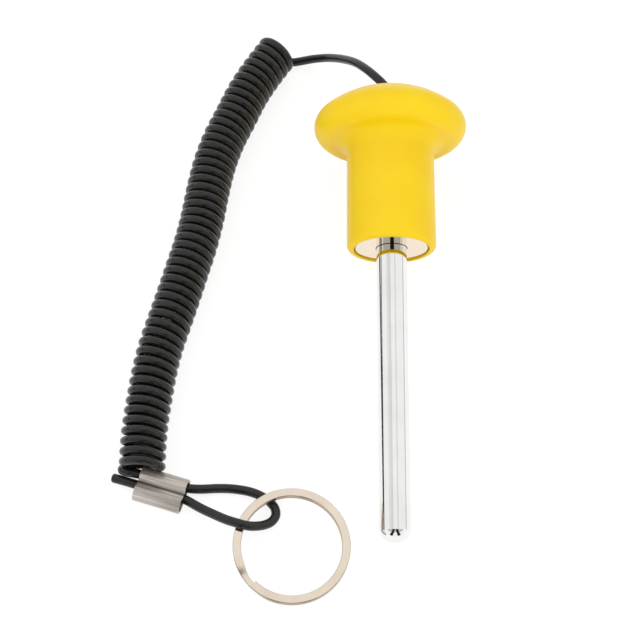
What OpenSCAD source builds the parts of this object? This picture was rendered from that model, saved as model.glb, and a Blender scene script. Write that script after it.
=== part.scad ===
// Weight stack pin on a curly lead, lying as it comes to rest on a flat surface.
// The pin lies along Y on its flange and its tip, and the lead beside it runs back to a split ring.

/* [Shaft] */
// Diameter of the steel shaft
shaft_d = 10; // [8:0.5:12]
// Length of bare shaft from the magnet's face to the tip
shaft_reach = 97.2; // [60:0.1:140]
// Radius of the domed tip
nose_r = 5.3; // [5.1:0.1:9]
// Step from the shaft down to the turned end that is held in the magnet and the knob
grip_step = 1; // [0.5:0.1:1.5]
// Length of the turned end behind the magnet
shaft_grip = 26; // [16:0.5:28]
// Chamfer on the shoulder, as deep as its seat in the magnet's face
shoulder_chamfer = 0.25; // [0.1:0.05:0.4]
// Chamfer on the shaft's hidden end
shaft_chamfer = 1; // [0.4:0.1:2]
// Depth of the glue grooves round the held length
groove_depth = 0.4; // [0.2:0.1:0.8]

/* [Magnet] */
// Outer diameter of the ring magnet
magnet_d = 24.4; // [18:0.2:25]
// Thickness of the ring magnet
magnet_t = 8; // [4:0.5:10]
// Chamfer on the magnet's edges
magnet_chamfer = 0.4; // [0.2:0.1:0.8]

/* [Knob] */
// Diameter of the knob's body at its open end
knob_d = 29.2; // [28.6:0.2:34]
// Diameter of the knob's body where it meets the flange
knob_neck_d = 28.8; // [26:0.2:34]
// Length of the knob from its open end to the top of the dome
knob_l = 56; // [53:0.2:70]
// Depth of the magnet's face inside the open end
lip_depth = 0.5; // [0.2:0.1:4]
// Rounding of the outer edge at the open end
lip_edge_r = 1.5; // [0.5:0.1:2.1]
// Diameter of the flange
flange_d = 50.6; // [46:0.2:60]
// Thickness of the flange at its round rim
flange_t = 11.2; // [8:0.2:12]
// Radius of the domed top
dome_r = 36; // [32:1:60]
// Fillet between the body and the flange
neck_fillet = 5; // [2:0.5:6]

/* [Cord] */
// Diameter of the cord
cord_d = 2.9; // [2:0.1:3.2]
// Outer diameter of the curly coil
coil_d = 15; // [12:0.5:18]
// Length of the crimped stop
stop_l = 8; // [5:0.5:10]
// Width of the flared mouth where the cord leaves the dome
flare_d = 7.6; // [5:0.2:9]

/* [Sleeve] */
// Length of the crimp sleeve
sleeve_l = 15.4; // [10:0.2:18]
// Height of the crimp sleeve
sleeve_h = 6; // [5:0.2:7]
// Distance between the middles of its two barrels
sleeve_spacing = 5.6; // [5:0.1:7]
// Wall of the crimp sleeve
sleeve_wall = 0.7; // [0.5:0.05:0.9]
// Depth of the crimped groove between the barrels
crimp_depth = 1.3; // [0.6:0.1:1.5]

/* [Split ring] */
// Outer diameter of the split ring
ring_d = 36.8; // [30:0.2:40]
// Radial width of the flat ring wire
wire_w = 2.6; // [1.8:0.1:3]
// Thickness of the flat ring wire
wire_t = 1.35; // [1:0.05:1.5]
// Bevel on the edges of the ring wire
wire_bevel = 0.25; // [0.1:0.05:0.4]
// Gap between the two turns of the ring
turn_gap = 0.1; // [0.05:0.05:0.2]

/* [Fits] */
// Gap all round between the magnet and the cup that it is glued in
cup_gap = 0.2; // [0.1:0.05:0.3]
// Gap all round between the shaft and what it is glued in
glue_gap = 0.05; // [0.02:0.01:0.1]
// Gap all round between the cord and a hole that it passes through
cord_gap = 0.2; // [0.1:0.05:0.4]
// Gap all round between the cord's stop and its pocket in the knob
stop_gap = 0.35; // [0.1:0.05:0.5]
// Gap between pieces that lie against each other unglued
rest_gap = 0.05; // [0.02:0.01:0.2]

/* [Hidden] */

eps = 0.01;
round_fn = 96;
shaft_r = shaft_d / 2;
grip_r = shaft_r - grip_step;
bore_r = grip_r + glue_gap;
stop_r = bore_r - stop_gap;
cord_r = cord_d / 2;
coil_r = coil_d / 2;
flange_r = flange_d / 2;
rim_r = flange_t / 2;
rim_mid_r = flange_r - rim_r;

// Heights along the pin's own axis, from the end of the tip towards the knob
nose_l = nose_r - sqrt(nose_r * nose_r - shaft_r * shaft_r);
lip_z = shaft_reach - lip_depth;
apex_z = lip_z + knob_l;
dome_mid_z = apex_z - dome_r;
rim_z = dome_mid_z + sqrt(pow(dome_r - rim_r, 2) - rim_mid_r * rim_mid_r);
neck_z = rim_z - rim_r;
seat_z = shaft_reach + shoulder_chamfer;
magnet_back_z = shaft_reach + magnet_t;
shaft_end_z = magnet_back_z + shaft_grip;
stop_z = shaft_end_z + rest_gap;
pocket_z = stop_z + stop_l;

// The pin leans on the shoulder of its tip and on the round rim of its flange
lean_run = rim_z - nose_l;
lean_rise = rim_mid_r - shaft_r;
lean = atan2(lean_rise, lean_run) + asin(rim_r / norm([lean_run, lean_rise]));
tip_height = shaft_r * cos(lean) - nose_l * sin(lean);
near_y = nose_r * (cos(lean) - 1);
far_y = dome_mid_z * cos(lean) + dome_r;
tip_y = -(near_y + far_y) / 2;

// A point on the pin's axis, by its height along the pin
function on_axis(z) = [0, tip_y + z * cos(lean), tip_height + z * sin(lean)];

module on_pin() {
    translate([0, tip_y, tip_height]) rotate([lean - 90, 0, 0]) children();
}

// The knob's wall leans in from its open end to its neck
wall_lean = atan2((knob_d - knob_neck_d) / 2, neck_z - lip_z);

module body_2d() {
    // Tapered wall with a round lower edge and a hollow fillet up to the flange's underside
    edge_mid_r = knob_d / 2 - lip_edge_r * (1 + sin(wall_lean)) / cos(wall_lean);
    fillet_rise = tan(wall_lean) + 1 / cos(wall_lean);
    fillet_r = min(neck_fillet, (rim_mid_r - knob_neck_d / 2) / fillet_rise);
    fillet_mid_r = knob_neck_d / 2 + fillet_r * fillet_rise;
    translate([edge_mid_r, lip_z + lip_edge_r]) circle(r = lip_edge_r, $fn = round_fn);
    difference() {
        polygon([[0, lip_z], [edge_mid_r, lip_z], [edge_mid_r, lip_z + lip_edge_r],
                 [edge_mid_r + lip_edge_r * cos(wall_lean), lip_z + lip_edge_r * (1 + sin(wall_lean))],
                 [fillet_mid_r - fillet_r * cos(wall_lean), neck_z - fillet_r * (1 + sin(wall_lean))],
                 [fillet_mid_r, neck_z - fillet_r], [fillet_mid_r, rim_z], [0, rim_z]]);
        translate([fillet_mid_r, neck_z - fillet_r]) circle(r = fillet_r, $fn = round_fn);
    }
}

module flange_2d() {
    // Round rim, flat underside and dome, the dome tangent to the rim
    reach = dome_r * 1.1;
    rim_turn = asin(rim_mid_r / (dome_r - rim_r));
    translate([rim_mid_r, rim_z]) circle(r = rim_r, $fn = round_fn);
    translate([0, neck_z]) square([rim_mid_r, rim_r]);
    intersection() {
        translate([0, dome_mid_z]) circle(r = dome_r, $fn = 2 * round_fn);
        polygon([[0, rim_z - eps], [rim_mid_r, rim_z - eps], [rim_mid_r, rim_z],
                 [reach * sin(rim_turn), dome_mid_z + reach * cos(rim_turn)], [0, dome_mid_z + reach]]);
    }
}

module knob_bore_2d() {
    // Magnet cup, shaft bore with the stop's pocket above it, cord hole and its flared mouth
    hole_r = cord_r + cord_gap;
    flare_l = flare_d / 2 - hole_r;
    translate([0, lip_z - 1]) square([magnet_d / 2 + cup_gap, magnet_back_z - lip_z + 1]);
    translate([0, lip_z]) square([bore_r, pocket_z - lip_z]);
    translate([0, lip_z]) square([hole_r, knob_l + 1]);
    polygon([[0, apex_z - flare_l], [hole_r, apex_z - flare_l], [flare_d / 2 + 1, apex_z + 1], [0, apex_z + 1]]);
}

module knob() {
    // One moulding: cup, body, flange and dome
    color("gold") on_pin() rotate_extrude($fn = round_fn) difference() {
        intersection() {
            union() {
                body_2d();
                flange_2d();
            }
            translate([0, lip_z - 1]) square([flange_d, knob_l + 2]);
        }
        knob_bore_2d();
    }
}

module magnet() {
    // Ring with a shallow seat in its face for the shaft's shoulder
    seat_r = shaft_r + glue_gap;
    outer_r = magnet_d / 2;
    bevel = magnet_chamfer;
    color("lightgray") on_pin() rotate_extrude($fn = round_fn)
        polygon([[seat_r, shaft_reach], [outer_r - bevel, shaft_reach], [outer_r, shaft_reach + bevel],
                 [outer_r, magnet_back_z - bevel], [outer_r - bevel, magnet_back_z], [bore_r, magnet_back_z],
                 [bore_r, seat_z], [seat_r, seat_z]]);
}

module shaft() {
    groove_count = 3;
    groove_w = 1.6;
    groove_step = shaft_grip / (groove_count + 1);
    shoulder_r = shaft_r - shoulder_chamfer;
    color("silver") on_pin() difference() {
        rotate_extrude($fn = round_fn) union() {
            intersection() {
                translate([0, nose_r]) circle(r = nose_r, $fn = round_fn);
                square([shaft_r, nose_l]);
            }
            polygon([[0, nose_l], [shaft_r, nose_l], [shaft_r, shaft_reach],
                     [shoulder_r, seat_z], [grip_r, seat_z], [grip_r, shaft_end_z - shaft_chamfer],
                     [grip_r - shaft_chamfer, shaft_end_z], [0, shaft_end_z]]);
        }
        for (i = [1 : groove_count])
            rotate_extrude($fn = round_fn)
                translate([grip_r - groove_depth, magnet_back_z + i * groove_step - groove_w / 2])
                    square([groove_depth + 1, groove_w]);
    }
}

module cord_stop() {
    // Crimped stop that holds the cord's inner end under the dome
    color("dimgray") on_pin() translate([0, 0, stop_z]) difference() {
        cylinder(r = stop_r, h = stop_l, $fn = round_fn);
        translate([0, 0, -1]) cylinder(r = cord_r + rest_gap, h = stop_l + 2, $fn = round_fn);
    }
}

// A closed skin through rings of points, each ring turning the same way round the line of travel
module skin(rings) {
    count = len(rings);
    sides = len(rings[0]);
    polyhedron(
        points = [for (ring = rings) each ring],
        faces = concat(
            [[for (j = [0 : sides - 1]) j]],
            [for (i = [0 : count - 2], j = [0 : sides - 1]) [i * sides + j, (i + 1) * sides + j,
                                                             (i + 1) * sides + (j + 1) % sides]],
            [for (i = [0 : count - 2], j = [0 : sides - 1]) [i * sides + j, (i + 1) * sides + (j + 1) % sides,
                                                             i * sides + (j + 1) % sides]],
            [[for (j = [sides - 1 : -1 : 0]) (count - 1) * sides + j]]));
}

function unit(v) = v / norm(v);
function heading(path, i) = unit(path[min(i + 1, len(path) - 1)] - path[max(i - 1, 0)]);
function square_to(side, along) = unit(side - (side * along) * along);
function side_lines(path, i, side) = i == len(path) ? [] :
    let (line = square_to(side, heading(path, i))) concat([line], side_lines(path, i + 1, line));
function tube_rings(path, r, sides, side) =
    let (lines = side_lines(path, 0, side))
    [for (i = [0 : len(path) - 1]) let (across = lines[i], up = cross(heading(path, i), across))
        [for (j = [0 : sides - 1]) path[i] + r * (cos(360 * j / sides) * across + sin(360 * j / sides) * up)]];

// Route of the lead, from the stop out through the dome, over and down to the coil's far end
lead_route = concat([on_axis(stop_z + 0.3), on_axis(pocket_z), on_axis(apex_z - 3)],
    [[-0.2, 75.8, 27], [-1.2, 76.9, 27.4], [-3, 79.1, 27.5], [-6.6, 84.4, 25.8], [-10.8, 91.1, 21.5],
     [-15.4, 97, 15], [-20.2, 101.5, 9], [-26.2, 104.2, 4], [-30.4, 105.5, 2.1], [-33.4, 105.6, 1.6],
     [-35, 104.7, 1.6], [-35.7, 103.57, 1.6]]);

// Route of the coil's middle line on the surface, from the lead's end to the sleeve
coil_route = [for (p = [[-38, 105], [-43.5, 96.5], [-48.5, 87.5], [-52.5, 78], [-56.5, 68.5], [-59.5, 58.5],
                        [-61.5, 48], [-63, 38], [-65, 28], [-67.5, 18.5], [-70, 9], [-72.5, 0], [-75, -9],
                        [-76.8, -18], [-78, -27], [-79, -36], [-79.4, -43], [-79.5, -49.5]])
              [p[0], p[1], coil_r]];

// Place of the sleeve: its length lies along sleeve_turn, and its strands off its middle line
sleeve_mid = [-73.6, -57.6];
sleeve_turn = -17.7;
far_strand = 3.1;
near_strand = -0.5;
strand_z = 2.3;
function in_sleeve(along, off) =
    [sleeve_mid[0] + along * cos(sleeve_turn) - off * sin(sleeve_turn),
     sleeve_mid[1] + along * sin(sleeve_turn) + off * cos(sleeve_turn), strand_z];

// Route of the loop, from the coil through the sleeve, round through the ring and back to its cut end
loop_route = concat(
    [[-85, -49.55, 4.4], [-85, -50.6, 4.5], [-84.2, -51.5, 4.5], [-82.8, -51.9, 3.8]],
    [in_sleeve(-sleeve_l / 2, far_strand), in_sleeve(0, far_strand), in_sleeve(sleeve_l / 2, far_strand)],
    [[-61, -57, 2.1], [-56.5, -56.6, 1.6], [-52.5, -56.6, 1.45], [-48.8, -57, 1.45], [-45.5, -57.7, 1.45],
     [-42.3, -59, 1.45], [-39.4, -61, 1.45], [-37.7, -63.2, 1.45], [-37.4, -65.6, 1.5], [-38.7, -67.8, 2],
     [-40.9, -69.4, 3.4], [-43.4, -70.4, 5.2], [-45.5, -70.8, 6.5], [-47.4, -70.6, 7.15], [-49.7, -69.9, 7.1],
     [-52.8, -68.5, 6], [-56.2, -66.6, 4.8], [-61, -63.8, 3.4]],
    [in_sleeve(sleeve_l / 2, near_strand), in_sleeve(0, near_strand), in_sleeve(-sleeve_l / 2, near_strand)],
    [in_sleeve(-sleeve_l / 2 - 8.4, near_strand), in_sleeve(-sleeve_l / 2 - 9.1, near_strand)]);

module cord_lead() {
    color("black") skin(tube_rings(lead_route, cord_r, 8, [1, 0, 0]));
}

module cord_coil() {
    color("black") skin(tube_rings(coil_route, coil_r, 16, [1, 0, 0]));
}

module cord_loop() {
    color("black") skin(tube_rings(loop_route, cord_r, 8, [0, 1, 0]));
}

module sleeve_2d(r, dent_r) {
    // Two round barrels joined flat below, with the crimped groove between them above
    dent_base_r = 2;
    difference() {
        union() {
            for (side = [-1, 1]) translate([side * sleeve_spacing / 2, 0]) circle(r = r, $fn = round_fn);
            square([sleeve_spacing, 2 * r], center = true);
        }
        translate([0, sleeve_h / 2 + dent_base_r - crimp_depth]) circle(r = dent_r, $fn = round_fn);
    }
}

module crimp_sleeve() {
    dent_r = 2;
    color("silver")
        translate([sleeve_mid[0], sleeve_mid[1], sleeve_h / 2]) rotate([0, 0, sleeve_turn])
            rotate([90, 0, 90]) linear_extrude(sleeve_l, center = true) difference() {
                sleeve_2d(sleeve_h / 2, dent_r);
                sleeve_2d(sleeve_h / 2 - sleeve_wall, dent_r + sleeve_wall);
            }
}

// The ring lies on the surface with one side on the cord, raised towards ring_lift_turn
ring_mid = [-32.3, -76.1];
ring_lift_turn = 118;
ring_lift = asin((cord_d + rest_gap) / (ring_d - wire_w));

// The wire starts in the upper turn, cranks down past its own ends and closes in the lower turn
ring_start = 226;
crank_start = 553;
crank_end = 581;
ring_end = 907;
ring_step = 4;
function eased(t) = t * t * (3 - 2 * t);
function crank(turn) = eased(max(0, min(1, (crank_end - turn) / (crank_end - crank_start))));

module split_ring() {
    mid_r = (ring_d - wire_w) / 2;
    half_w = wire_w / 2;
    half_t = wire_t / 2;
    b = wire_bevel;
    section = [[half_w, half_t - b], [half_w, b - half_t], [half_w - b, -half_t], [b - half_w, -half_t],
               [-half_w, b - half_t], [-half_w, half_t - b], [b - half_w, half_t], [half_w - b, half_t]];
    stations = round((ring_end - ring_start) / ring_step);
    rings = [for (i = [0 : stations])
        let (turn = ring_start + (ring_end - ring_start) * i / stations,
             height = half_t + crank(turn) * (wire_t + turn_gap))
        [for (p = section) [(mid_r + p[0]) * cos(turn), (mid_r + p[0]) * sin(turn), height + p[1]]]];
    color("silver")
        translate([ring_mid[0], ring_mid[1], ring_d / 2 * sin(ring_lift)])
            rotate(a = ring_lift, v = [sin(ring_lift_turn), -cos(ring_lift_turn), 0])
                skin(rings);
}

knob();
magnet();
shaft();
cord_stop();
cord_lead();
cord_coil();
cord_loop();
crimp_sleeve();
split_ring();
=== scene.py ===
"""Looks of a weight stack pin with its curly lead and split ring, in metres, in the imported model's frame."""

import logging
import math
from dataclasses import dataclass
from enum import Enum

import bpy
from mathutils import Matrix, Quaternion, Vector

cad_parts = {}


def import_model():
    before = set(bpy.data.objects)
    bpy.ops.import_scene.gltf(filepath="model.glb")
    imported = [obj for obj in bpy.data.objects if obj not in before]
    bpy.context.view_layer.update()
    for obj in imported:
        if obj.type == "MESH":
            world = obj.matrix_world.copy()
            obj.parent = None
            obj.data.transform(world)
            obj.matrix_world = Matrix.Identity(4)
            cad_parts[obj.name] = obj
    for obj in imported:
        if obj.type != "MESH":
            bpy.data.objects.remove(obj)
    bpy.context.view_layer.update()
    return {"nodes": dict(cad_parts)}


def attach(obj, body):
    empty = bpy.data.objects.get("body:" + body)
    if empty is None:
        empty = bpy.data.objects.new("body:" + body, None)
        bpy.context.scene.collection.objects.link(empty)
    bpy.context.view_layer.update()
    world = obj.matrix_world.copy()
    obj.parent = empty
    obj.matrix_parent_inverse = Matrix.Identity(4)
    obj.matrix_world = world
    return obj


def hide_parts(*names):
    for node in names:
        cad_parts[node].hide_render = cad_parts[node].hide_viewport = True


LOG = logging.getLogger("weight_stack_pin")
MM = 0.001
BODY = "root"
UP = Vector((0, 0, 1))
WHITE = (1, 1, 1, 1)
# Edges flatter than this look round
SMOOTH_UNDER = math.radians(35)

Triple = tuple[float, float, float]
Colour = tuple[float, float, float, float]
Route = list[Vector]


def linear(code: str) -> Colour:
    """Turn a web colour into the linear colour that the shaders take.

    Args:
        code: six hexadecimal digits after a hash.

    Returns:
        Linear red, green, blue and an alpha of one.
    """
    channels = [int(code[i : i + 2], 16) / 255 for i in (1, 3, 5)]
    return (*[c / 12.92 if c <= 0.04045 else ((c + 0.055) / 1.055) ** 2.4 for c in channels], 1.0)


def spread(low: float = 0, high: float = 1) -> dict[str, float]:
    """Return the inputs that spread the middle of a noise, where most of its values lie, over a range."""
    return {"From Min": 0.3, "From Max": 0.7, "To Min": low, "To Max": high}


def clamped(value: float) -> float:
    """Keep a value between 0 and 1."""
    return max(0.0, min(1.0, value))


def eased(share: float) -> float:
    """Let a share from 0 to 1 start and end gently."""
    return share * share * (3 - 2 * share)


def smooth_route(points: Route, step: float) -> Route:
    """Draw one smooth line through a few points.

    Args:
        points: the points that the line passes through, in order.
        step: the greatest distance between two points of the line.

    Returns:
        The points of the line, the first and the last ones kept.
    """
    ends = [2 * points[0] - points[1], *points, 2 * points[-1] - points[-2]]
    line = [points[0].copy()]
    for a, b, c, d in zip(ends, ends[1:], ends[2:], ends[3:]):
        knots = [0.0]
        for p, q in ((a, b), (b, c), (c, d)):
            knots.append(knots[-1] + math.sqrt((q - p).length))
        t0, t1, t2, t3 = knots
        count = max(1, math.ceil((c - b).length / step))
        for i in range(1, count + 1):
            t = t1 + (t2 - t1) * i / count
            ab = a * ((t1 - t) / (t1 - t0)) + b * ((t - t0) / (t1 - t0))
            bc = b * ((t2 - t) / (t2 - t1)) + c * ((t - t1) / (t2 - t1))
            cd = c * ((t3 - t) / (t3 - t2)) + d * ((t - t2) / (t3 - t2))
            abc = ab * ((t2 - t) / (t2 - t0)) + bc * ((t - t0) / (t2 - t0))
            bcd = bc * ((t3 - t) / (t3 - t1)) + cd * ((t - t1) / (t3 - t1))
            line.append(abc * ((t2 - t) / (t2 - t1)) + bcd * ((t - t1) / (t2 - t1)))
    return line


def route_length(line: Route) -> float:
    """Return the length of a line of points."""
    return sum((q - p).length for p, q in zip(line, line[1:]))


def even_route(line: Route, count: int) -> Route:
    """Space the points of a line evenly.

    Args:
        line: the points of a dense line.
        count: how many points to return.

    Returns:
        Points at equal distances along the line, both ends kept.
    """
    marks = [0.0]
    for p, q in zip(line, line[1:]):
        marks.append(marks[-1] + (q - p).length)
    made, i = [], 0
    for n in range(count):
        goal = marks[-1] * n / (count - 1)
        while i < len(line) - 2 and marks[i + 1] < goal:
            i += 1
        share = (goal - marks[i]) / (marks[i + 1] - marks[i])
        made.append(line[i].lerp(line[i + 1], min(1.0, share)))
    return made


def in_mm(points: tuple[Triple, ...]) -> Route:
    """Turn points in millimetres into vectors in metres."""
    return [Vector(p) * MM for p in points]


@dataclass(frozen=True)
class Lie:
    """How a piece lies in the frame: its own origin in millimetres and its turns in degrees."""

    origin: Triple = (0.0, 0.0, 0.0)
    turns: Triple = (0.0, 0.0, 0.0)


# The pin's own axes, with the origin at the shaft's tip and Y along the shaft
PIN_LIE = Lie((0.0, -75.6806, 4.4218), (8.496, 0.0, 0.0))
# The sleeve's own axes, with the origin in its middle and X along its barrels
SLEEVE_LIE = Lie((-73.6, -57.6, 3.0), (0.0, 0.0, -17.7))
# The split ring leans on the cord, raised towards one side
RING_LIFT_TURN = math.radians(118)
RING_LEAN = Matrix.Rotation(
    math.radians(4.947), 4, Vector((math.sin(RING_LIFT_TURN), -math.cos(RING_LIFT_TURN), 0))
)


class Nodes:
    """A node tree that is filled node by node."""

    def __init__(self, tree: bpy.types.NodeTree) -> None:
        """Start with an empty tree.

        Args:
            tree: the tree of a material or of the world.
        """
        self.tree = tree
        self.tree.nodes.clear()

    def add(self, kind: str, inputs: dict | None = None, **settings: object) -> bpy.types.Node:
        """Add a node.

        Args:
            kind: the node's type name.
            inputs: values or sockets for its inputs, by name or number.
            settings: attributes of the node itself.

        Returns:
            The new node.
        """
        node = self.tree.nodes.new(kind)
        for name, value in settings.items():
            setattr(node, name, value)
        for name, value in (inputs or {}).items():
            if isinstance(value, bpy.types.NodeSocket):
                self.tree.links.new(value, node.inputs[name])
            else:
                node.inputs[name].default_value = value
        return node


class Shader(Nodes):
    """One procedural material."""

    def __init__(self, name: str) -> None:
        """Start an empty material.

        Args:
            name: the material's name.
        """
        self.material = bpy.data.materials.new(name)
        self.material.use_nodes = True
        super().__init__(self.material.node_tree)

    def mm_space(self, lie: Lie = Lie()) -> bpy.types.NodeSocket:
        """Return coordinates in millimetres.

        Args:
            lie: how the piece lies in the frame.

        Returns:
            Coordinates from the piece's own origin along its own axes.
        """
        inputs = {
            "Vector": self.add("ShaderNodeTexCoord").outputs["Object"],
            "Location": Vector(lie.origin) * MM,
            "Rotation": [math.radians(turn) for turn in lie.turns],
            "Scale": (MM, MM, MM),
        }
        return self.add("ShaderNodeMapping", inputs, vector_type="TEXTURE").outputs[0]

    def finish(self, surface: bpy.types.Node) -> bpy.types.Material:
        """Join a surface to the output and return the material.

        Args:
            surface: the node whose first output is the whole surface.

        Returns:
            The finished material.
        """
        self.add("ShaderNodeOutputMaterial", {"Surface": surface.outputs[0]})
        return self.material


@dataclass(frozen=True)
class Pattern:
    """An irregular pattern, with the size of its patches in millimetres along each axis."""

    size: Triple
    detail: float
    rough: float = 0.55

    def value(self, shader: Shader, place: bpy.types.NodeSocket) -> bpy.types.NodeSocket:
        """Draw the pattern.

        Args:
            shader: the material that is being built.
            place: coordinates in millimetres.

        Returns:
            The pattern's value, which is mostly between 0.3 and 0.7.
        """
        scaled = shader.add("ShaderNodeMapping", {"Vector": place, "Scale": [1 / size for size in self.size]})
        inputs = {"Vector": scaled.outputs[0], "Scale": 1.0, "Detail": self.detail, "Roughness": self.rough}
        return shader.add("ShaderNodeTexNoise", inputs).outputs["Fac"]


@dataclass(frozen=True)
class MouldedPlastic:
    """Yellow ABS from a satin mould: broad soft highlights, a faint sink ripple and hardly any grain."""

    name: str = "yellow_moulded_abs"
    lit: str = "#F6D211"
    deep: str = "#F2CA0D"
    roughness: tuple[float, float] = (0.34, 0.42)
    specular: float = 0.22
    tint: Pattern = Pattern((20, 20, 20), 2)
    ripple: Pattern = Pattern((7.14, 7.14, 7.14), 2)
    ripple_depth: float = 0.05 * MM
    # The mould's grain is about 0.05 mm wide and is drawn at 0.3 mm, so that it shows
    grain: Pattern = Pattern((0.3125, 0.3125, 0.3125), 4)
    grain_depth: float = 0.003 * MM

    def material(self) -> bpy.types.Material:
        """Return the procedural material."""
        shader = Shader(self.name)
        place = shader.mm_space()
        tint = shader.add("ShaderNodeMapRange", {"Value": self.tint.value(shader, place), **spread()})
        ends = {6: linear(self.lit), 7: linear(self.deep)}
        colour = shader.add("ShaderNodeMix", {"Factor": tint.outputs[0], **ends}, data_type="RGBA")
        grain = self.grain.value(shader, place)
        rough = shader.add("ShaderNodeMapRange", {"Value": grain, **spread(*self.roughness)})
        waves = {"Height": self.ripple.value(shader, place), "Strength": 1.0, "Distance": self.ripple_depth}
        waved = shader.add("ShaderNodeBump", waves).outputs["Normal"]
        fine = {"Height": grain, "Strength": 1.0, "Distance": self.grain_depth, "Normal": waved}
        inputs = {
            "Base Color": colour.outputs[2],
            "Roughness": rough.outputs[0],
            "Normal": shader.add("ShaderNodeBump", fine).outputs["Normal"],
            "Specular IOR Level": self.specular,
        }
        return shader.finish(shader.add("ShaderNodeBsdfPrincipled", inputs))


@dataclass(frozen=True)
class GapShadeLine:
    """A line of painted shade, standing for the shadow in a gap or groove, between two distances from a
    piece's origin, in millimetres along some of its axes.
    """

    axes: Triple
    start: float
    end: float
    fade: float = 0.02
    # The colour of the painted shade
    tone: str = "#2A2420"

    def over(
        self, shader: Shader, place: bpy.types.NodeSocket, colour: bpy.types.NodeSocket
    ) -> bpy.types.NodeSocket:
        """Paint the shade into a colour along the line.

        Args:
            shader: the material that is being built.
            place: the piece's own coordinates in millimetres.
            colour: the metal's colour.

        Returns:
            The colour with the painted shade line in it.
        """
        kept = shader.add("ShaderNodeVectorMath", {0: place, 1: self.axes}, operation="MULTIPLY").outputs[0]
        far = shader.add("ShaderNodeVectorMath", {0: kept}, operation="LENGTH").outputs["Value"]
        rise = {"Value": far, "From Min": self.start - self.fade, "From Max": self.start}
        fall = {"Value": far, "From Min": self.end + self.fade, "From Max": self.end}
        edges = {
            0: shader.add("ShaderNodeMapRange", rise).outputs[0],
            1: shader.add("ShaderNodeMapRange", fall).outputs[0],
        }
        inside = shader.add("ShaderNodeMath", edges, operation="MULTIPLY").outputs[0]
        inputs = {"Factor": inside, 6: colour, 7: linear(self.tone)}
        return shader.add("ShaderNodeMix", inputs, data_type="RGBA").outputs[2]


@dataclass(frozen=True)
class SideShade:
    """Painted shade on the sides of flat wire, whose flat faces keep the metal's colour."""

    across: Triple
    # The colour of the painted shade on the wire's sides
    side_shade_tone: str = "#9C8874"
    side_under: float = 0.5
    face_over: float = 0.9

    def over(self, shader: Shader, colour: bpy.types.NodeSocket) -> bpy.types.NodeSocket:
        """Paint shade into a colour where the surface turns away from the direction across the faces.

        Args:
            shader: the material that is being built.
            colour: the metal's colour.

        Returns:
            The colour, with painted shade on the wire's sides.
        """
        ends = {0: shader.add("ShaderNodeNewGeometry").outputs["Normal"], 1: self.across}
        turned = shader.add("ShaderNodeVectorMath", ends, operation="DOT_PRODUCT").outputs["Value"]
        flat = shader.add("ShaderNodeMath", {0: turned}, operation="ABSOLUTE").outputs[0]
        limits = {"Value": flat, "From Min": self.side_under, "From Max": self.face_over}
        share = shader.add("ShaderNodeMapRange", limits).outputs[0]
        inputs = {"Factor": share, 6: linear(self.side_shade_tone), 7: colour}
        return shader.add("ShaderNodeMix", inputs, data_type="RGBA").outputs[2]


@dataclass(frozen=True)
class PlatedMetal:
    """Polished or plated metal with faint rubbing marks along one direction."""

    name: str
    bright: str
    dull: str
    roughness: tuple[float, float]
    marks: Pattern
    mark_depth: float
    lie: Lie = Lie()
    blotch: Pattern = Pattern((8.33, 8.33, 8.33), 3)
    streaks: float = 0.0
    metallic: float = 1.0
    # Painted shade: a dark line in a gap or groove, and darker sides on a wire
    gap_shade: GapShadeLine | None = None
    side_shade: SideShade | None = None

    def material(self) -> bpy.types.Material:
        """Return the procedural material."""
        shader = Shader(self.name)
        place = shader.mm_space(self.lie)
        marks = self.marks.value(shader, place)
        blotch = self.blotch.value(shader, place)
        share = shader.add("ShaderNodeMapRange", {"Value": blotch, **spread()}).outputs[0]
        if self.streaks:
            along = shader.add("ShaderNodeMapRange", {"Value": marks, **spread()}).outputs[0]
            share = shader.add("ShaderNodeMix", {"Factor": self.streaks, "A": share, "B": along}).outputs[0]
        ends = {6: linear(self.bright), 7: linear(self.dull)}
        colour = shader.add("ShaderNodeMix", {"Factor": share, **ends}, data_type="RGBA").outputs[2]
        # Painted shade goes into the colour here: in gaps and grooves, and on a wire's sides
        if self.gap_shade:
            colour = self.gap_shade.over(shader, place, colour)
        if self.side_shade:
            colour = self.side_shade.over(shader, colour)
        rough = shader.add("ShaderNodeMapRange", {"Value": marks, **spread(*self.roughness)})
        rubbed = {"Height": marks, "Strength": 1.0, "Distance": self.mark_depth}
        inputs = {
            "Base Color": colour,
            "Metallic": self.metallic,
            "Roughness": rough.outputs[0],
            "Normal": shader.add("ShaderNodeBump", rubbed).outputs["Normal"],
        }
        return shader.finish(shader.add("ShaderNodeBsdfPrincipled", inputs))


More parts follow.
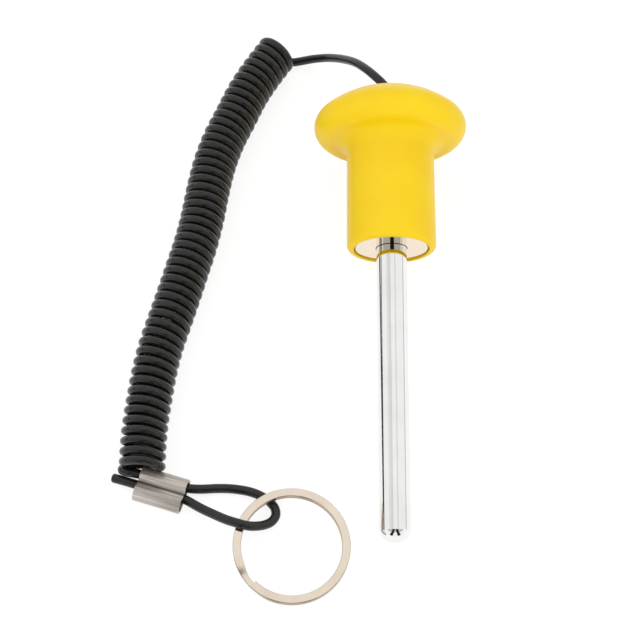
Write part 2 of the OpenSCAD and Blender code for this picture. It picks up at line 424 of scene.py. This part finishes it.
@dataclass(frozen=True)
class ExtrudedCord:
    """Black polyurethane cord, smooth from the die: narrow glossy highlights on a nearly black body."""

    name: str = "black_extruded_polyurethane"
    dark: str = "#191917"
    pale: str = "#222120"
    roughness: tuple[float, float] = (0.16, 0.26)
    specular: float = 0.4
    haze: Pattern = Pattern((10, 10, 10), 3)
    # The skin's unevenness is about 0.1 mm wide and is drawn at 0.45 mm, so that it shows
    skin: Pattern = Pattern((0.4545, 0.4545, 0.4545), 4)
    skin_depth: float = 0.003 * MM

    def material(self) -> bpy.types.Material:
        """Return the procedural material."""
        shader = Shader(self.name)
        place = shader.mm_space()
        haze = shader.add("ShaderNodeMapRange", {"Value": self.haze.value(shader, place), **spread()})
        ends = {6: linear(self.dark), 7: linear(self.pale)}
        colour = shader.add("ShaderNodeMix", {"Factor": haze.outputs[0], **ends}, data_type="RGBA")
        skin = self.skin.value(shader, place)
        rough = shader.add("ShaderNodeMapRange", {"Value": skin, **spread(*self.roughness)})
        uneven = {"Height": skin, "Strength": 1.0, "Distance": self.skin_depth}
        inputs = {
            "Base Color": colour.outputs[2],
            "Roughness": rough.outputs[0],
            "Normal": shader.add("ShaderNodeBump", uneven).outputs["Normal"],
            "Specular IOR Level": self.specular,
        }
        return shader.finish(shader.add("ShaderNodeBsdfPrincipled", inputs))


class Finish(Enum):
    """The finishes that the pin's pieces share."""

    PLASTIC = MouldedPlastic()
    # Nickel plating on a ground face: a warm mirror, slightly wavy, painted shade in the gap round the shaft
    MAGNET = PlatedMetal(
        name="nickel_plated_magnet",
        bright="#F2E2CE",
        dull="#EEDFC9",
        roughness=(0.04, 0.09),
        marks=Pattern((2.857, 2.857, 2.857), 5, 0.65),
        mark_depth=0.0003 * MM,
        lie=PIN_LIE,
        # A ring of painted shade in the gap round the shaft
        gap_shade=GapShadeLine(axes=(1.0, 0.0, 1.0), start=4.9, end=5.22),
    )
    # Chromed steel, polished lengthwise: a cool mirror that draws its surroundings out into long stripes. Its
    # polishing marks are about 0.02 mm wide and are drawn at 0.45 mm, so that they show
    SHAFT = PlatedMetal(
        name="polished_chromed_steel",
        bright="#F0F0EE",
        dull="#E9E9E7",
        roughness=(0.03, 0.07),
        marks=Pattern((0.4545, 20, 0.4545), 5, 0.65),
        mark_depth=0.0002 * MM,
        lie=PIN_LIE,
        # A band of painted shade on the shaft where it meets the magnet's face
        gap_shade=GapShadeLine(axes=(0.0, 1.0, 0.0), start=97.05, end=97.6),
    )
    # Nickel-plated tube, drawn and crimped: satin bands along the barrels, partly painted reflection and
    # shade, and a dark groove between them, partly painted shade. Its plating looks milky, so its metallic is
    # half.
    # The tube's draw lines are about 0.2 mm wide and are drawn at 1.8 mm, so that they show
    SLEEVE = PlatedMetal(
        name="drawn_nickel_plated_tube",
        # The bright and dull tones are mixed in lengthwise streaks: partly draw lines, partly painted
        # reflection and shade
        bright="#E4DCD4",
        dull="#8F867D",
        roughness=(0.3, 0.45),
        marks=Pattern((33.33, 1.818, 1.818), 5, 0.65),
        mark_depth=0.002 * MM,
        lie=SLEEVE_LIE,
        streaks=0.95,
        metallic=0.5,
        # A line of painted shade along the groove between the barrels
        gap_shade=GapShadeLine(axes=(0.0, 1.0, 0.0), start=0.0, end=0.1, fade=0.8, tone="#4E463F"),
    )
    # Nickel-plated spring wire, rolled flat and tumbled: a soft warm mirror with painted shade on its sides.
    # The tumbling marks are about 0.1 mm wide and are drawn at 0.8 mm, so that they show
    RING = PlatedMetal(
        name="tumbled_nickel_plated_wire",
        bright="#EBDDCC",
        dull="#DDCFBC",
        roughness=(0.08, 0.16),
        marks=Pattern((0.8333, 0.8333, 0.8333), 5, 0.65),
        mark_depth=0.0006 * MM,
        # Painted shade on the wire's sides, darker where they turn away from the flat faces
        side_shade=SideShade(across=tuple(RING_LEAN @ UP)),
    )
    CORD = ExtrudedCord()

    def material(self) -> bpy.types.Material:
        """Return the finish's material, made once."""
        return bpy.data.materials.get(self.value.name) or self.value.material()


def dress(piece: bpy.types.Object, finish: Finish) -> None:
    """Give a piece one finish all over."""
    piece.data.materials.clear()
    piece.data.materials.append(finish.material())


def clear_selection() -> None:
    """Deselect every object."""
    if bpy.context.object and bpy.context.object.mode != "OBJECT":
        bpy.ops.object.mode_set(mode="OBJECT")
    bpy.ops.object.select_all(action="DESELECT")


def take(piece: bpy.types.Object) -> None:
    """Make one object the only selected and the active one."""
    clear_selection()
    piece.select_set(True)
    bpy.context.view_layer.objects.active = piece


def round_edges(piece: bpy.types.Object, width: float, segments: int, over: float) -> None:
    """Round a piece's sharp edges over and smooth the rest.

    Args:
        piece: a mesh object.
        width: the width of the rounding.
        segments: how many faces it takes.
        over: the angle in degrees over which an edge is sharp.
    """
    bevel = piece.modifiers.new("rounding", "BEVEL")
    bevel.width = width
    bevel.segments = segments
    bevel.limit_method = "ANGLE"
    bevel.angle_limit = math.radians(over)
    take(piece)
    bpy.ops.object.modifier_apply(modifier=bevel.name)
    bpy.ops.object.shade_smooth_by_angle(angle=SMOOTH_UNDER)


def settle(piece: bpy.types.Object, place: Matrix) -> None:
    """Move a piece's mesh to its place in the frame and leave the object unturned at the origin.

    Args:
        piece: a mesh object.
        place: from the piece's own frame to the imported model's frame.
    """
    piece.data.transform(place @ piece.matrix_basis)
    piece.matrix_basis = Matrix.Identity(4)
    piece.data.update()


@dataclass
class CurlyCord:
    """The whole cord: lead, coil, loop through the split ring and cut end, as one curve."""

    diameter: float = 3 * MM
    coiled_diameter: float = 3.02 * MM
    coil_diameter: float = 15 * MM
    coil_height: float = 7.55
    turns: float = 50
    points_per_turn: int = 28
    # The last turns lean over towards the sleeve, and bulge that way at their sides
    leaning_turns: float = 16
    lean: float = 0.42
    belly: float = 0.6
    # The cut end's rounding, and the stretch of the line that it takes the place of
    end_rounding: float = 0.8 * MM
    end_stretch: float = 0.96 * MM
    end_steps: int = 8
    lead_step: float = 1.5 * MM
    loop_step: float = 0.8 * MM
    section_points: int = 6
    # Points in millimetres: from the stop to the coil, the coil's middle line, from the coil to the sleeve,
    # and from the sleeve round through the ring and back to the cut end
    lead: tuple[Triple, ...] = (
        (0, 56.9, 24.2), (0, 62.5, 25.1), (0, 70.4, 26.3), (-0.05, 73.6, 26.8), (-0.6, 76.1, 27.3),
        (-2.6, 78.9, 27.6), (-4.6, 81.5, 27.1), (-6.6, 84.4, 25.9), (-10.8, 90.9, 21.3), (-15.4, 96.8, 15),
        (-20.2, 101.3, 9.1), (-23.2, 102.95, 6.4), (-26.4, 104, 4.2), (-29.6, 104.3, 2.7),
        (-32.6, 104.35, 1.8), (-35.4, 104.6, 1.56),
    )
    middle: tuple[tuple[float, float], ...] = (
        (-38, 105), (-43.5, 96.5), (-48.5, 87.5), (-52.5, 78), (-56.5, 68.5), (-59.5, 58.5), (-61.5, 48),
        (-63, 38), (-65, 28), (-67.5, 18.5), (-70, 9), (-72.5, 0), (-75, -9), (-76.8, -18), (-78, -27),
        (-79, -36), (-79.4, -43), (-79.5, -50.7),
    )
    tail: tuple[Triple, ...] = (
        (-81.3, -48.45, 1.53), (-83, -48.8, 1.6), (-84.6, -49.4, 1.9), (-85.75, -50.15, 2.6),
        (-86.2, -50.85, 3.5), (-85.9, -51.55, 4.4), (-85, -52.1, 5), (-83.7, -52.45, 5.1), (-82, -52.55, 4.5),
        (-80.3, -52.6, 3.5),
    )
    loop: tuple[Triple, ...] = (
        (-77.7, -53, 2.3), (-72.7, -54.6, 2.3), (-67.6, -56.2, 2.3), (-64.6, -56.9, 2.3), (-61, -57, 2.1),
        (-56.5, -56.6, 1.6), (-52.5, -56.6, 1.53), (-48.8, -57, 1.53), (-45.5, -57.7, 1.53),
        (-42.3, -59, 1.53), (-39.4, -61, 1.53), (-37.65, -63.2, 1.53), (-37.35, -65.6, 1.6),
        (-38.6, -67.8, 2.1), (-40.9, -69.4, 3.4), (-43.4, -70.4, 5.2), (-45.5, -70.8, 6.5),
        (-47.4, -70.6, 7.15), (-49.7, -69.9, 7.1), (-52.8, -68.5, 6), (-56.2, -66.6, 4.8), (-61, -63.8, 3.4),
        (-66.4, -60.4, 2.3), (-70, -59.2, 2.3), (-73.8, -58.1, 2.3), (-77.5, -56.9, 2.3), (-81.1, -55.7, 2.3),
        (-85.2, -54.4, 2.3), (-89.5, -53.1, 2.15),
    )

    def helix(self) -> Route:
        """Return the curly stretch, wound round the coil's middle line.

        Returns:
            The points of the wire's own centreline, from under the first turn to under the last.
        """
        radius = (self.coil_diameter - self.coiled_diameter) / 2
        flat = smooth_route([Vector((x, y, self.coil_height)) * MM for x, y in self.middle], MM)
        count = round(self.turns * self.points_per_turn) + 1
        middle = even_route(flat, count)
        made = []
        for i, point in enumerate(middle):
            ahead = (middle[min(i + 1, count - 1)] - middle[max(i - 1, 0)]).normalized()
            side = UP.cross(ahead).normalized()
            wound = i / self.points_per_turn
            lean = self.lean * max(0.0, 1 - (self.turns - wound) / self.leaning_turns)
            turn = -math.pi / 2 - 2 * math.pi * wound
            forward = math.sin(turn) + self.belly * math.cos(turn) ** 2
            out = math.cos(turn) * side + math.sin(turn) * UP + lean * forward * ahead
            made.append(point + radius * out)
        return made

    def route(self) -> tuple[Route, list[float]]:
        """Return the whole cord's centreline and its thickness along it.

        Returns:
            The points, from the crimped stop to the cut end, and for each point its share of the full radius.
        """
        helix = self.helix()
        lead = smooth_route([*in_mm(self.lead), helix[0]], self.lead_step)[:-1]
        loop = smooth_route([helix[-1], *in_mm(self.tail + self.loop)], self.loop_step)[1:]
        line = lead + helix + loop
        swell = self.coiled_diameter / self.diameter - 1
        share = []
        for i in range(len(line)):
            inside = min(i - len(lead), len(line) - len(loop) - i)
            share.append(1 + swell * clamped(inside / self.points_per_turn))
        return self.rounded_end(line, share)

    def rounded_end(self, line: Route, share: list[float]) -> tuple[Route, list[float]]:
        """Round the cut end over by stepping the thickness down along its last stretch.

        Args:
            line: the cord's points.
            share: the share of the full radius at each of them.

        Returns:
            The points and shares with the rounded end.
        """
        tip, back = line[-1], (line[-2] - line[-1]).normalized()
        while (line[-1] - tip).length < self.end_stretch:
            line.pop()
            share.pop()
        for i in range(self.end_steps + 1):
            turn = math.pi / 2 * i / self.end_steps
            line.append(tip + back * (self.end_rounding * (1 - math.sin(turn))))
            share.append(1 - self.end_rounding / (self.diameter / 2) * (1 - math.cos(turn)))
        return line, share

    def build(self) -> bpy.types.Object:
        """Make the curve, dress it and return it."""
        line, share = self.route()
        curve = bpy.data.curves.new("cord", "CURVE")
        curve.dimensions = "3D"
        curve.bevel_depth = self.diameter / 2
        curve.bevel_resolution = self.section_points
        curve.use_fill_caps = True
        curve.twist_mode = "MINIMUM"
        spline = curve.splines.new("POLY")
        spline.points.add(len(line) - 1)
        spline.use_smooth = True
        for point, place, part in zip(spline.points, line, share):
            point.co = (*place, 1)
            point.radius = part
        piece = bpy.data.objects.new("cord", curve)
        bpy.context.scene.collection.objects.link(piece)
        dress(piece, Finish.CORD)
        LOG.info("cord: %d points, %.3f m", len(line), route_length(line))
        return piece


@dataclass
class CrimpSleeve:
    """Double-barrel sleeve crimped round the two strands of the loop."""

    length: float = 15.4 * MM
    height: float = 6 * MM
    spacing: float = 5.6 * MM
    wall: float = 0.7 * MM
    crimp_depth: float = 1.3 * MM
    dent_radius: float = 2 * MM
    mouth_rounding: float = 0.16 * MM
    # How finely the section is drawn, before its points are spaced evenly and softened a few times
    barrel_step: int = 3
    dent_steps: int = 20
    section_points: int = 160
    softenings: int = 3
    lie: Lie = SLEEVE_LIE

    def outline(self) -> Route:
        """Return the sleeve's outer section, across and up from the middle of its barrels.

        Returns:
            The points, anticlockwise from the middle of the flat underside.
        """
        r, half = self.height / 2, self.spacing / 2
        dent_mid = r + self.dent_radius - self.crimp_depth
        dent_half = math.sqrt(self.dent_radius**2 - (dent_mid - r) ** 2)
        dent_turn = math.atan2(r - dent_mid, dent_half)
        sweep = -math.pi - 2 * dent_turn
        right = [Vector((0, -r, 0)), Vector((half, -r, 0))]
        for degrees in range(-90, 91, self.barrel_step):
            a = math.radians(degrees)
            right.append(Vector((half + r * math.cos(a), r * math.sin(a), 0)))
        right.append(Vector((dent_half, r, 0)))
        dent = []
        for i in range(1, self.dent_steps):
            a = dent_turn + sweep * i / self.dent_steps
            rise = dent_mid + self.dent_radius * math.sin(a)
            dent.append(Vector((self.dent_radius * math.cos(a), rise, 0)))
        left = [Vector((-p.x, p.y, 0)) for p in reversed(right)]
        count = self.section_points
        line = even_route(right + dent + left, count + 1)[:-1]
        for _ in range(self.softenings):
            line = [(line[i - 1] + 2 * p + line[(i + 1) % count]) / 4 for i, p in enumerate(line)]
        return line

    def build(self) -> bpy.types.Object:
        """Make the sleeve, dress it and return it."""
        clear_selection()
        bpy.ops.mesh.primitive_circle_add(vertices=self.section_points, radius=self.height, fill_type="NGON")
        piece = bpy.context.object
        piece.name = piece.data.name = "sleeve"
        for vertex, point in zip(piece.data.vertices, self.outline()):
            vertex.co = point
        bpy.ops.object.mode_set(mode="EDIT")
        bpy.ops.mesh.select_all(action="SELECT")
        bpy.ops.mesh.inset(thickness=self.wall, depth=0, use_even_offset=True)
        bpy.ops.mesh.delete(type="FACE")
        bpy.ops.mesh.select_all(action="SELECT")
        bpy.ops.mesh.extrude_region_move(TRANSFORM_OT_translate={"value": (0, 0, self.length)})
        bpy.ops.mesh.select_all(action="SELECT")
        bpy.ops.mesh.normals_make_consistent(inside=False)
        bpy.ops.object.mode_set(mode="OBJECT")
        round_edges(piece, self.mouth_rounding, segments=3, over=50)
        upright = Matrix(((0, 0, 1, -self.length / 2), (1, 0, 0, 0), (0, 1, 0, 0), (0, 0, 0, 1)))
        turn = Matrix.Rotation(math.radians(self.lie.turns[2]), 4, "Z")
        settle(piece, Matrix.Translation(Vector(self.lie.origin) * MM) @ turn @ upright)
        dress(piece, Finish.SLEEVE)
        LOG.info("sleeve: %d faces", len(piece.data.polygons))
        return piece


@dataclass
class SplitRing:
    """Flat-wire ring of two turns, cranked from the upper turn to the lower one.

    Its angles are in degrees along the winding, from the wire's upper end to its lower one.
    """

    diameter: float = 36.8 * MM
    wire_width: float = 2.6 * MM
    wire_thickness: float = 1.35 * MM
    wire_corner: float = 0.28 * MM
    gap: float = 0.1 * MM
    place: tuple[float, float] = (-32.3 * MM, -76.1 * MM)
    start: float = 226
    crank_start: float = 545
    crank_end: float = 581
    end: float = 907
    turn_step: float = 2
    # The share of the crank's slope that is even, so that the crank starts and ends at a soft angle
    crank_even: float = 0.7
    # At the crank's foot the wire is pressed down to a share of its size, which fades out to both sides
    pinched: float = 0.72
    pinch_start: float = 561
    pinch_rise: float = 18
    pinch_end: float = 606
    pinch_fall: float = 14
    end_rounding: float = 0.1 * MM
    weld: float = 0.01 * MM

    def height(self, turn: float) -> float:
        """Return the height of the wire's middle at an angle along the winding."""
        share = clamped((self.crank_end - turn) / (self.crank_end - self.crank_start))
        raised = self.crank_even * share + (1 - self.crank_even) * eased(share)
        return self.wire_thickness / 2 + raised * (self.wire_thickness + self.gap)

    def kept_size(self, turn: float) -> float:
        """Return the share of its size that the pressed wire keeps at an angle along the winding."""
        rise = (turn - self.pinch_start) / self.pinch_rise
        fall = (self.pinch_end - turn) / self.pinch_fall
        return 1 - (1 - self.pinched) * eased(clamped(min(rise, fall)))

    def section(self) -> bpy.types.Object:
        """Return the wire's section as a closed curve with round corners."""
        across = self.wire_width / 2 - self.wire_corner
        up = self.wire_thickness / 2 - self.wire_corner
        points = []
        for quarter, (sx, sy) in enumerate(((1, 1), (-1, 1), (-1, -1), (1, -1))):
            for degrees in (0, 30, 60, 90):
                a = math.radians(90 * quarter + degrees)
                x = sx * across + self.wire_corner * math.cos(a)
                y = sy * up + self.wire_corner * math.sin(a)
                points.append((x, y, 0, 1))
        curve = bpy.data.curves.new("wire_section", "CURVE")
        spline = curve.splines.new("POLY")
        spline.points.add(len(points) - 1)
        spline.use_cyclic_u = True
        for point, place in zip(spline.points, points):
            point.co = place
        shape = bpy.data.objects.new("wire_section", curve)
        bpy.context.scene.collection.objects.link(shape)
        return shape

    def winding(self, section: bpy.types.Object) -> bpy.types.Object:
        """Sweep the wire's section along both turns.

        Args:
            section: the closed curve of the section.

        Returns:
            The wire as a curve object, flat in its own frame.
        """
        radius = (self.diameter - self.wire_width) / 2
        curve = bpy.data.curves.new("split_ring_line", "CURVE")
        curve.dimensions = "3D"
        curve.twist_mode = "Z_UP"
        curve.bevel_mode = "OBJECT"
        curve.bevel_object = section
        curve.use_fill_caps = True
        count = int((self.end - self.start) / self.turn_step) + 1
        spline = curve.splines.new("POLY")
        spline.points.add(count - 1)
        spline.use_smooth = True
        for i, point in enumerate(spline.points):
            turn = self.start + (self.end - self.start) * i / (count - 1)
            a = math.radians(turn)
            kept = self.kept_size(turn)
            reach = radius + self.wire_width / 4 * (1 - kept)
            point.co = (reach * math.cos(a), reach * math.sin(a), self.height(turn), 1)
            point.radius = kept
        wire = bpy.data.objects.new("ring", curve)
        bpy.context.scene.collection.objects.link(wire)
        return wire

    def build(self) -> bpy.types.Object:
        """Make the ring, dress it and return it."""
        section = self.section()
        take(self.winding(section))
        bpy.ops.object.convert(target="MESH")
        piece = bpy.context.object
        bpy.ops.object.mode_set(mode="EDIT")
        bpy.ops.mesh.select_all(action="SELECT")
        bpy.ops.mesh.remove_doubles(threshold=self.weld)
        bpy.ops.mesh.normals_make_consistent(inside=False)
        bpy.ops.object.mode_set(mode="OBJECT")
        round_edges(piece, self.end_rounding, segments=2, over=60)
        flats = piece.modifiers.new("flat_faces", "WEIGHTED_NORMAL")
        flats.keep_sharp = True
        bpy.ops.object.modifier_apply(modifier=flats.name)
        bpy.data.objects.remove(section)
        rise = self.diameter / 2 * (RING_LEAN @ UP).xy.length
        settle(piece, Matrix.Translation((*self.place, rise)) @ RING_LEAN)
        dress(piece, Finish.RING)
        LOG.info("ring: %d faces", len(piece.data.polygons))
        return piece


@dataclass
class Pin:
    """The pin's own solids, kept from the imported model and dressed."""

    nodes: dict[str, bpy.types.Object]

    def build(self) -> None:
        """Dress each solid that stays."""
        finishes = {
            "knob": Finish.PLASTIC,
            "magnet": Finish.MAGNET,
            "shaft": Finish.SHAFT,
            "cord_stop": Finish.SLEEVE,
        }
        for name, finish in finishes.items():
            dress(self.nodes[name], finish)
            LOG.info("%s: dressed", name)


@dataclass(frozen=True)
class Lamp:
    """A soft square lamp that points at the object, in metres and watts."""

    name: str
    place: Triple
    size: float
    power: float

    def build(self) -> None:
        """Hang the lamp, out of sight of gloss."""
        data = bpy.data.lights.new(self.name, "AREA")
        data.shape = "SQUARE"
        data.size = self.size
        data.energy = self.power
        lamp = bpy.data.objects.new(self.name, data)
        lamp.location = self.place
        lamp.rotation_euler = (-Vector(self.place)).to_track_quat("-Z", "Y").to_euler()
        lamp.visible_glossy = False
        bpy.context.scene.collection.objects.link(lamp)


@dataclass(frozen=True)
class Card:
    """A grey card that only polished metal and gloss can see, in metres.

    Its tone is how bright it looks, from black at 0 to white at 1, and it is rolled about the direction that
    it faces, in degrees.
    """

    name: str
    place: Triple
    size: tuple[float, float]
    tone: float
    facing: Triple
    roll: float = 0.0

    def build(self) -> None:
        """Hang the card."""
        shader = Shader(self.name)
        glow = shader.add("ShaderNodeEmission", {"Color": WHITE, "Strength": self.tone})
        clear_selection()
        bpy.ops.mesh.primitive_plane_add(size=1)
        card = bpy.context.object
        card.name = self.name
        card.scale = (*self.size, 1)
        card.location = self.place
        turned = Quaternion((0, 0, 1), math.radians(self.roll))
        card.rotation_euler = (Vector(self.facing).to_track_quat("Z", "Y") @ turned).to_euler()
        card.data.materials.append(shader.finish(glow))
        for ray in ("camera", "diffuse", "transmission", "shadow", "volume_scatter"):
            setattr(card, f"visible_{ray}", False)


FACING_UP = (0, 0, 1)
FACING_BACK = (0, 1, 0)
FACING_ASIDE = (1, 0, 0)


@dataclass
class Studio:
    """Pale floor, soft lamps, white surroundings, dark things for the metal to mirror, and the camera."""

    target: Triple = (-23.4 * MM, 3.5 * MM, 0.0)
    elevation: float = 64.3
    distance: float = 601.5 * MM
    lens: float = 101.8
    sensor: float = 36
    clip: tuple[float, float] = (0.01, 20)
    ambient: float = 0.86
    floor_size: float = 6
    floor_tone: str = "#F1F1F0"
    # How much of the floor's own glow the camera and gloss see in place of the paper, and how bright it is
    glow_share: float = 0.72
    glow: float = 1.15
    lamps: tuple[Lamp, ...] = (
        Lamp("lamp_over", place=(-0.25, 0.45, 1.15), size=1.6, power=2.2),
        Lamp("lamp_left", place=(-1.1, -0.25, 0.75), size=1.1, power=1.2),
        Lamp("lamp_right", place=(1.1, -0.1, 0.75), size=1.2, power=1.7),
        Lamp("lamp_front", place=(0, -1.3, 0.18), size=1.0, power=4.6),
    )
    cards: tuple[Card, ...] = (
        Card("camera_body", (0.025, -0.317, 0.655), (0.36, 0.2), tone=0.01, facing=(0, -0.44, 0.9)),
        Card("stand_left", (-0.26, -0.9, 0.6), (0.3, 1.2), tone=0.02, facing=FACING_BACK, roll=11),
        Card("stand_right", (0.26, -0.9, 0.6), (0.3, 1.2), tone=0.02, facing=FACING_BACK, roll=-11),
        Card("stand_head", (0, -0.88, 1.09), (0.54, 0.38), tone=0.06, facing=FACING_BACK),
        Card("ceiling", (0, -1.4, 1.3), (8, 1.9), tone=0.54, facing=FACING_UP),
        Card("lamp_edge_wide", (-0.85, 0.7, 1.25), (0.5, 1.8), tone=0.84, facing=FACING_UP),
        Card("lamp_edge_dark", (-0.44, 0.7, 1.25), (0.32, 1.8), tone=0.77, facing=FACING_UP),
        Card("lamp_edge_right", (0.45, 0.7, 1.25), (0.2, 1.8), tone=0.78, facing=FACING_UP),
        Card("gap_left", (-1.3, 0.4, 0.09), (1.8, 0.18), tone=0.03, facing=FACING_ASIDE),
        Card("gap_right", (1.3, 0.4, 0.12), (1.8, 0.2), tone=0.6, facing=FACING_ASIDE),
    )

    def camera(self) -> None:
        """Place the camera at the photograph's angle."""
        data = bpy.data.cameras.new("camera")
        data.lens = self.lens
        data.sensor_width = self.sensor
        data.clip_start, data.clip_end = self.clip
        camera = bpy.data.objects.new("camera", data)
        up = math.radians(self.elevation)
        camera.location = Vector(self.target) + self.distance * Vector((0, -math.cos(up), math.sin(up)))
        camera.rotation_euler = (math.pi / 2 - up, 0, 0)
        bpy.context.scene.collection.objects.link(camera)
        bpy.context.scene.camera = camera

    def world(self) -> None:
        """Make surroundings that look white, also in metal, and light the object softly."""
        world = bpy.data.worlds.new("surroundings")
        world.use_nodes = True
        nodes = Nodes(world.node_tree)
        rays = nodes.add("ShaderNodeLightPath").outputs
        seen = {0: rays["Is Camera Ray"], 1: rays["Is Glossy Ray"]}
        mirrored = nodes.add("ShaderNodeMath", seen, operation="MAXIMUM").outputs[0]
        through = {0: mirrored, 1: rays["Is Transmission Ray"]}
        shown = nodes.add("ShaderNodeMath", through, operation="MAXIMUM").outputs[0]
        strength = nodes.add("ShaderNodeMapRange", {"Value": shown, "To Min": self.ambient, "To Max": 1.0})
        light = nodes.add("ShaderNodeBackground", {"Color": WHITE, "Strength": strength.outputs[0]})
        nodes.add("ShaderNodeOutputWorld", {"Surface": light.outputs[0]})
        bpy.context.scene.world = world

    def floor(self) -> None:
        """Lay a pale floor that reads as white and keeps the object's shadow."""
        shader = Shader("pale_floor")
        rays = shader.add("ShaderNodeLightPath").outputs
        seen = {0: rays["Is Camera Ray"], 1: rays["Is Glossy Ray"]}
        shown = shader.add("ShaderNodeMath", seen, operation="MAXIMUM").outputs[0]
        share = shader.add("ShaderNodeMath", {0: shown, 1: self.glow_share}, operation="MULTIPLY").outputs[0]
        paper = shader.add("ShaderNodeBsdfDiffuse", {"Color": linear(self.floor_tone)}).outputs[0]
        glow = shader.add("ShaderNodeEmission", {"Color": WHITE, "Strength": self.glow}).outputs[0]
        surface = shader.add("ShaderNodeMixShader", {0: share, 1: paper, 2: glow})
        clear_selection()
        bpy.ops.mesh.primitive_plane_add(size=self.floor_size)
        ground = bpy.context.object
        ground.name = "floor"
        ground.data.materials.append(shader.finish(surface))

    def build(self) -> None:
        """Set up the whole studio."""
        self.camera()
        self.world()
        self.floor()
        for thing in (*self.lamps, *self.cards):
            thing.build()
        bpy.context.scene.view_settings.view_transform = "Standard"
        LOG.info("studio: ready")


def main() -> None:
    """Build the scene piece by piece."""
    logging.basicConfig(level=logging.INFO, format="%(name)s: %(message)s")
    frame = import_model()
    Studio().build()
    cord = CurlyCord()
    line = cord.build()
    sleeve = CrimpSleeve().build()
    ring = SplitRing().build()
    Pin(frame["nodes"]).build()
    for piece in (line, sleeve, ring):
        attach(piece, BODY)
    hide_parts("cord_lead", "cord_coil", "cord_loop")
    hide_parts("crimp_sleeve")
    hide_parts("split_ring")


if __name__ == "__main__":
    main()
